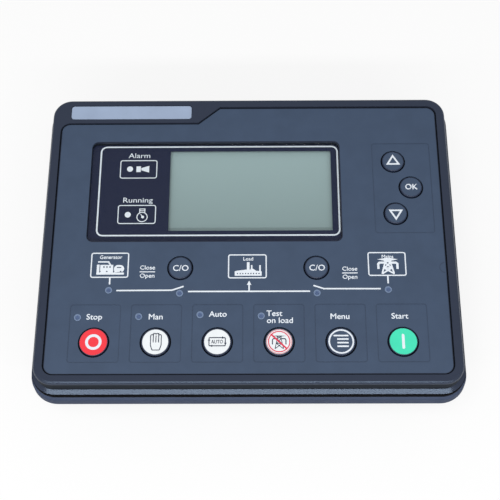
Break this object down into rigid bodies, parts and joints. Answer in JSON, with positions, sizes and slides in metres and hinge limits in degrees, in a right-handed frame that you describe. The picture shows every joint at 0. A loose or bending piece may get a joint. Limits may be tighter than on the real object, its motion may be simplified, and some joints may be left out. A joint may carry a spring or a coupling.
{
  "type": "genset controller",
  "caption": "Panel-mounted generator-set controller: stepped dark case, blue-grey fascia with display window, round push keys and status lights, and plug-in terminals at the rear.",
  "frame": {"origin": "under the middle of the case, on the plane of its back", "axes": "+X to the right along the face, +Y up the face, +Z out of the face"},
  "size_m": [0.2122, 0.1624, 0.05],
  "materials": {
    "case_black": "fine moulded texture",
    "rear_grey": "fine moulded texture",
    "fascia_blue": "satin, fine texture",
    "name_plate": "satin",
    "window_clear": "clear, polished",
    "mask_navy": "printed film",
    "seal_rubber": "matt",
    "steel": "zinc plated",
    "tin": "tinned sheet",
    "lcd": "display glass over its reflector",
    "diffuser": "white",
    "board_green": "solder resist",
    "component_black": "moulded",
    "relay_blue": "moulded",
    "capacitor": "sleeved",
    "chip_amber": "clear resin",
    "terminal_green": "moulded",
    "plunger_grey": "moulded",
    "key_red": "satin",
    "key_white": "satin",
    "key_green": "satin",
    "key_blue": "satin",
    "light_blue": "clear tinted"
  },
  "bodies": {
    "case": {"front_bezel": "case_black", "fascia": "fascia_blue", "name_plate": "name_plate", "window_lens": "window_clear", "display_mask": "mask_navy", "case_seal": "seal_rubber", "rear_case": "rear_grey", "panel_gasket": "seal_rubber", "case_screws": "steel", "lcd_frame": "tin", "lcd_glass": "lcd", "backlight": "diffuser", "display_board": "board_green", "board_screws": "steel", "key_switches": "component_black", "status_leds": "chip_amber", "main_board": "board_green", "main_board_screws": "steel", "board_link": "component_black", "relays": "relay_blue", "capacitors": "capacitor", "processor": "component_black", "terminal_headers": "terminal_green", "terminal_screws": "tin", "lower_left_plug": "terminal_green", "lower_right_plug": "terminal_green", "upper_left_plug": "terminal_green", "upper_right_plug": "terminal_green", "stop_light": "light_blue", "manual_light": "light_blue", "auto_light": "light_blue", "test_light": "light_blue", "generator_light": "light_blue", "mains_light": "light_blue", "generator_breaker_light": "light_blue", "mains_breaker_light": "light_blue"},
    "stop_button": {"stop_key": "key_red", "stop_plunger": "plunger_grey"},
    "manual_button": {"manual_key": "key_white", "manual_plunger": "plunger_grey"},
    "auto_button": {"auto_key": "key_white", "auto_plunger": "plunger_grey"},
    "test_button": {"test_key": "key_white", "test_plunger": "plunger_grey"},
    "menu_button": {"menu_key": "key_blue", "menu_plunger": "plunger_grey"},
    "start_button": {"start_key": "key_green", "start_plunger": "plunger_grey"},
    "generator_breaker_button": {"generator_breaker_key": "key_blue", "generator_breaker_plunger": "plunger_grey"},
    "mains_breaker_button": {"mains_breaker_key": "key_blue", "mains_breaker_plunger": "plunger_grey"},
    "up_button": {"up_key": "key_blue", "up_plunger": "plunger_grey"},
    "confirm_button": {"confirm_key": "key_blue", "confirm_plunger": "plunger_grey"},
    "down_button": {"down_key": "key_blue", "down_plunger": "plunger_grey"}
  },
  "joints": [
    {"name": "stop_press", "type": "slide", "parent": "case", "child": "stop_button", "axis": [0, 0, -1], "range_m": [0, 0.0006], "stiffness_N_per_m": 1000, "springref_m": -0.0005},
    {"name": "manual_press", "type": "slide", "parent": "case", "child": "manual_button", "axis": [0, 0, -1], "range_m": [0, 0.0006], "stiffness_N_per_m": 1000, "springref_m": -0.0005},
    {"name": "auto_press", "type": "slide", "parent": "case", "child": "auto_button", "axis": [0, 0, -1], "range_m": [0, 0.0006], "stiffness_N_per_m": 1000, "springref_m": -0.0005},
    {"name": "test_press", "type": "slide", "parent": "case", "child": "test_button", "axis": [0, 0, -1], "range_m": [0, 0.0006], "stiffness_N_per_m": 1000, "springref_m": -0.0005},
    {"name": "menu_press", "type": "slide", "parent": "case", "child": "menu_button", "axis": [0, 0, -1], "range_m": [0, 0.0006], "stiffness_N_per_m": 1000, "springref_m": -0.0005},
    {"name": "start_press", "type": "slide", "parent": "case", "child": "start_button", "axis": [0, 0, -1], "range_m": [0, 0.0006], "stiffness_N_per_m": 1000, "springref_m": -0.0005},
    {"name": "generator_breaker_press", "type": "slide", "parent": "case", "child": "generator_breaker_button", "axis": [0, 0, -1], "range_m": [0, 0.0006], "stiffness_N_per_m": 1000, "springref_m": -0.0005},
    {"name": "mains_breaker_press", "type": "slide", "parent": "case", "child": "mains_breaker_button", "axis": [0, 0, -1], "range_m": [0, 0.0006], "stiffness_N_per_m": 1000, "springref_m": -0.0005},
    {"name": "up_press", "type": "slide", "parent": "case", "child": "up_button", "axis": [0, 0, -1], "range_m": [0, 0.0006], "stiffness_N_per_m": 1000, "springref_m": -0.0005},
    {"name": "confirm_press", "type": "slide", "parent": "case", "child": "confirm_button", "axis": [0, 0, -1], "range_m": [0, 0.0006], "stiffness_N_per_m": 1000, "springref_m": -0.0005},
    {"name": "down_press", "type": "slide", "parent": "case", "child": "down_button", "axis": [0, 0, -1], "range_m": [0, 0.0006], "stiffness_N_per_m": 1000, "springref_m": -0.0005}
  ]
}
